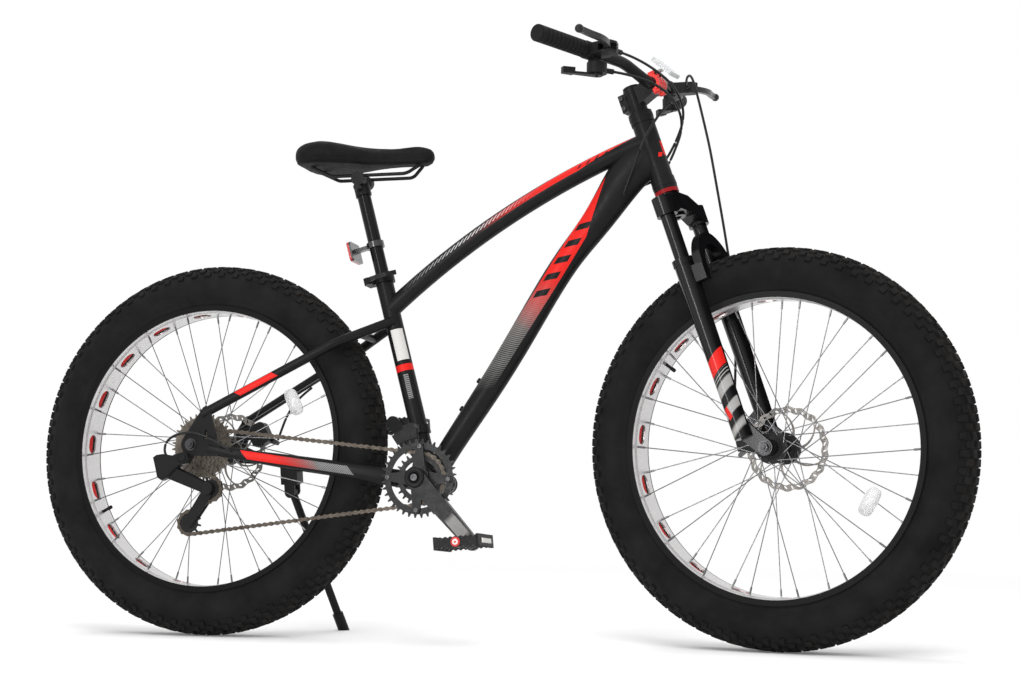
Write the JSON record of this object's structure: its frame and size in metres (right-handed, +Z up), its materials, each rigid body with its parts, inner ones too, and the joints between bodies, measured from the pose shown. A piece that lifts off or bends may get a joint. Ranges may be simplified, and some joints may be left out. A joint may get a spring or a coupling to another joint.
{
  "type": "fat tire bike",
  "caption": "Fat tyre mountain bicycle with a suspension fork, disc brakes, derailleur gears and a kickstand, standing with its front wheel turned to the right.",
  "frame": {"origin": "middle of the footprint box, on the ground", "axes": "+X forward, +Y to the rider's left, +Z up; the bicycle leans to +Y on its kickstand"},
  "size_m": [1.8832, 0.6858, 1.1312],
  "materials": {
    "frame_paint": "matte black paint with red panels",
    "fork_paint": "gloss black paint",
    "bare_alloy": "satin",
    "black_alloy": "satin black",
    "red_alloy": "red anodised",
    "steel": "bright steel",
    "dark_steel": "dark oiled steel",
    "tyre_rubber": "black rubber",
    "grip_rubber": "black rubber",
    "saddle_cover": "black cover over foam",
    "black_plastic": "black",
    "red_lens": "red reflector",
    "clear_lens": "clear reflector"
  },
  "bodies": {
    "frame": {"head_tube": "frame_paint", "top_tube": "frame_paint", "down_tube": "frame_paint", "seat_tube": "frame_paint", "rear_triangle": "frame_paint", "headset_cups": "black_alloy", "bottom_bracket": "black_alloy", "seat_collar": "black_alloy", "rear_axle": "steel", "rear_caliper": "black_alloy", "front_derailleur": "black_alloy", "rear_derailleur": "black_alloy", "derailleur_links": "black_alloy", "kickstand_bracket": "black_alloy", "chain": "dark_steel", "control_cables": "black_plastic"},
    "seat": {"seat_post": "black_alloy", "saddle_rails": "steel", "saddle": "saddle_cover", "tail_reflector": "red_lens"},
    "collar_lever": {"seat_collar_lever": "black_alloy"},
    "steering": {"fork_crown": "fork_paint", "headset_covers": "black_alloy", "stem": "black_alloy", "stem_faceplate": "red_alloy", "handlebar": "black_alloy", "grips": "grip_rubber", "control_units": "black_plastic", "front_reflector": "clear_lens", "front_brake_cable": "black_plastic"},
    "lower_legs": {"fork_lowers": "fork_paint", "front_axle": "steel", "front_caliper": "black_alloy"},
    "front_wheel": {"front_tyre": "tyre_rubber", "front_rim": "bare_alloy", "front_spokes": "steel", "front_hub": "black_alloy", "front_rotor": "steel"},
    "rear_wheel": {"rear_tyre": "tyre_rubber", "rear_rim": "bare_alloy", "rear_spokes": "steel", "rear_hub": "black_alloy", "rear_rotor": "steel"},
    "crankset": {"crank_arms": "black_alloy", "chainrings": "dark_steel"},
    "cog_set": {"cassette": "dark_steel"},
    "right_pedal": {"pedal_right": "black_plastic"},
    "left_pedal": {"pedal_left": "black_plastic"},
    "right_brake_lever": {"brake_lever_right": "black_alloy"},
    "left_brake_lever": {"brake_lever_left": "black_alloy"},
    "right_shift_lever": {"shift_lever_right": "black_plastic"},
    "left_shift_lever": {"shift_lever_left": "black_plastic"},
    "rear_arm": {"rear_caliper_arm": "steel"},
    "front_arm": {"front_caliper_arm": "steel"},
    "front_shift_cage": {"front_derailleur_cage": "steel"},
    "shift_knuckle": {"derailleur_knuckle": "black_alloy"},
    "tension_cage": {"derailleur_cage": "black_alloy"},
    "guide_pulley": {"jockey_upper": "black_plastic"},
    "tension_pulley": {"jockey_lower": "black_plastic"},
    "stand": {"kickstand_leg": "black_alloy"}
  },
  "joints": [
    {"name": "steering_turn", "type": "hinge", "parent": "frame", "child": "steering", "pos_m": [0.35104, -0.01476, 0.8767], "axis": [-0.331, 0.0773, 0.9405], "range_deg": [-49.2, 70.8], "deforming": ["control_cables"]},
    {"name": "fork_travel", "type": "slide", "parent": "steering", "child": "lower_legs", "axis": [-0.331, 0.0773, 0.9405], "range_m": [0, 0.07], "stiffness_N_per_m": 8000, "springref_m": -0.03, "deforming": ["front_brake_cable"]},
    {"name": "front_wheel_spin", "type": "hinge", "parent": "lower_legs", "child": "front_wheel", "pos_m": [0.57474, -0.06455, 0.37194], "axis": [0.1769, 0.9841, -0.0187], "continuous": true},
    {"name": "rear_wheel_spin", "type": "hinge", "parent": "frame", "child": "rear_wheel", "pos_m": [-0.56969, -0.05631, 0.37092], "axis": [0, 0.9966, -0.0819], "continuous": true},
    {"name": "crank_turn", "type": "hinge", "parent": "frame", "child": "crankset", "pos_m": [-0.10188, -0.06147, 0.30838], "axis": [0, 0.9966, -0.0819], "continuous": true, "deforming": ["chain"]},
    {"name": "cog_turn", "type": "hinge", "parent": "frame", "child": "cog_set", "pos_m": [-0.56969, -0.05631, 0.37092], "axis": [0, 0.9966, -0.0819], "continuous": true, "deforming": ["chain"]},
    {"name": "right_pedal_spin", "type": "hinge", "parent": "crankset", "child": "right_pedal", "pos_m": [0.0152, -0.07157, 0.18554], "axis": [0, 0.9966, -0.0819], "continuous": true},
    {"name": "left_pedal_spin", "type": "hinge", "parent": "crankset", "child": "left_pedal", "pos_m": [-0.21897, -0.05137, 0.43122], "axis": [0, 0.9966, -0.0819], "continuous": true},
    {"name": "right_brake_pull", "type": "hinge", "parent": "steering", "child": "right_brake_lever", "pos_m": [0.28863, -0.21011, 1.10667], "axis": [-0.0068, -0.0689, -0.9976], "range_deg": [0, 22], "stiffness_Nm_per_rad": 1.5, "springref_deg": -17.19},
    {"name": "left_brake_pull", "type": "hinge", "parent": "steering", "child": "left_brake_lever", "pos_m": [0.36205, 0.1984, 1.09892], "axis": [-0.0111, -0.0303, 0.9995], "range_deg": [0, 22], "stiffness_Nm_per_rad": 1.5, "springref_deg": -17.19},
    {"name": "rear_arm_pull", "type": "hinge", "parent": "frame", "child": "rear_arm", "pos_m": [-0.50613, 0.03616, 0.39727], "axis": [0, -0.9966, 0.0819], "range_deg": [0, 12], "deforming": ["control_cables"]},
    {"name": "front_arm_pull", "type": "hinge", "parent": "lower_legs", "child": "front_arm", "pos_m": [0.51648, 0.0092, 0.38594], "axis": [0.1769, 0.9841, -0.0187], "range_deg": [0, 12], "deforming": ["front_brake_cable"]},
    {"name": "right_shift_push", "type": "hinge", "parent": "steering", "child": "right_shift_lever", "pos_m": [0.26133, -0.18015, 1.07371], "axis": [0.0068, 0.0689, 0.9976], "range_deg": [-30, 30]},
    {"name": "left_shift_push", "type": "hinge", "parent": "steering", "child": "left_shift_lever", "pos_m": [0.32581, 0.17862, 1.0669], "axis": [0.0111, 0.0303, -0.9995], "range_deg": [0, 30]},
    {"name": "front_shift", "type": "slide", "parent": "frame", "child": "front_shift_cage", "axis": [0, -0.9966, 0.0819], "range_m": [0, 0.0075], "deforming": ["chain"]},
    {"name": "rear_shift", "type": "slide", "parent": "frame", "child": "shift_knuckle", "axis": [0.1493, 0.8566, -0.4939], "range_m": [-0.0195, 0.0195], "deforming": ["derailleur_links", "chain"]},
    {"name": "cage_swing", "type": "hinge", "parent": "shift_knuckle", "child": "tension_cage", "pos_m": [-0.53965, -0.12905, 0.29163], "axis": [0, 0.9966, -0.0819], "range_deg": [-30, 50], "stiffness_Nm_per_rad": 2, "deforming": ["chain"]},
    {"name": "guide_pulley_spin", "type": "hinge", "parent": "tension_cage", "child": "guide_pulley", "pos_m": [-0.53965, -0.12905, 0.29163], "axis": [0, 0.9966, -0.0819], "continuous": true, "deforming": ["chain"]},
    {"name": "tension_pulley_spin", "type": "hinge", "parent": "tension_cage", "child": "tension_pulley", "pos_m": [-0.58267, -0.13457, 0.22441], "axis": [0, 0.9966, -0.0819], "continuous": true, "deforming": ["chain"]},
    {"name": "stand_fold", "type": "hinge", "parent": "frame", "child": "stand", "pos_m": [-0.42965, 0.02086, 0.28438], "axis": [-0.0001, 0.9911, 0.1331], "range_deg": [0, 108]},
    {"name": "seat_height", "type": "slide", "parent": "frame", "child": "seat", "axis": [-0.2728, 0.0788, 0.9588], "range_m": [-0.03, 0.07]},
    {"name": "collar_lever_open", "type": "hinge", "parent": "frame", "child": "collar_lever", "pos_m": [-0.24134, -0.04821, 0.70147], "axis": [0.2728, -0.0788, -0.9588], "range_deg": [0, 150]}
  ],
  "couplings": [
    {"joint": "cog_turn", "follows": "crank_turn", "ratio": 1.3333},
    {"joint": "guide_pulley_spin", "follows": "crank_turn", "ratio": -2.1818},
    {"joint": "tension_pulley_spin", "follows": "crank_turn", "ratio": 2.1818},
    {"joint": "rear_arm_pull", "follows": "right_brake_pull", "ratio": 0.54545},
    {"joint": "front_arm_pull", "follows": "left_brake_pull", "ratio": 0.54545},
    {"joint": "left_shift_push", "follows": "front_shift", "rad_per_m": 69.813},
    {"joint": "right_shift_push", "follows": "rear_shift", "rad_per_m": 26.851}
  ]
}
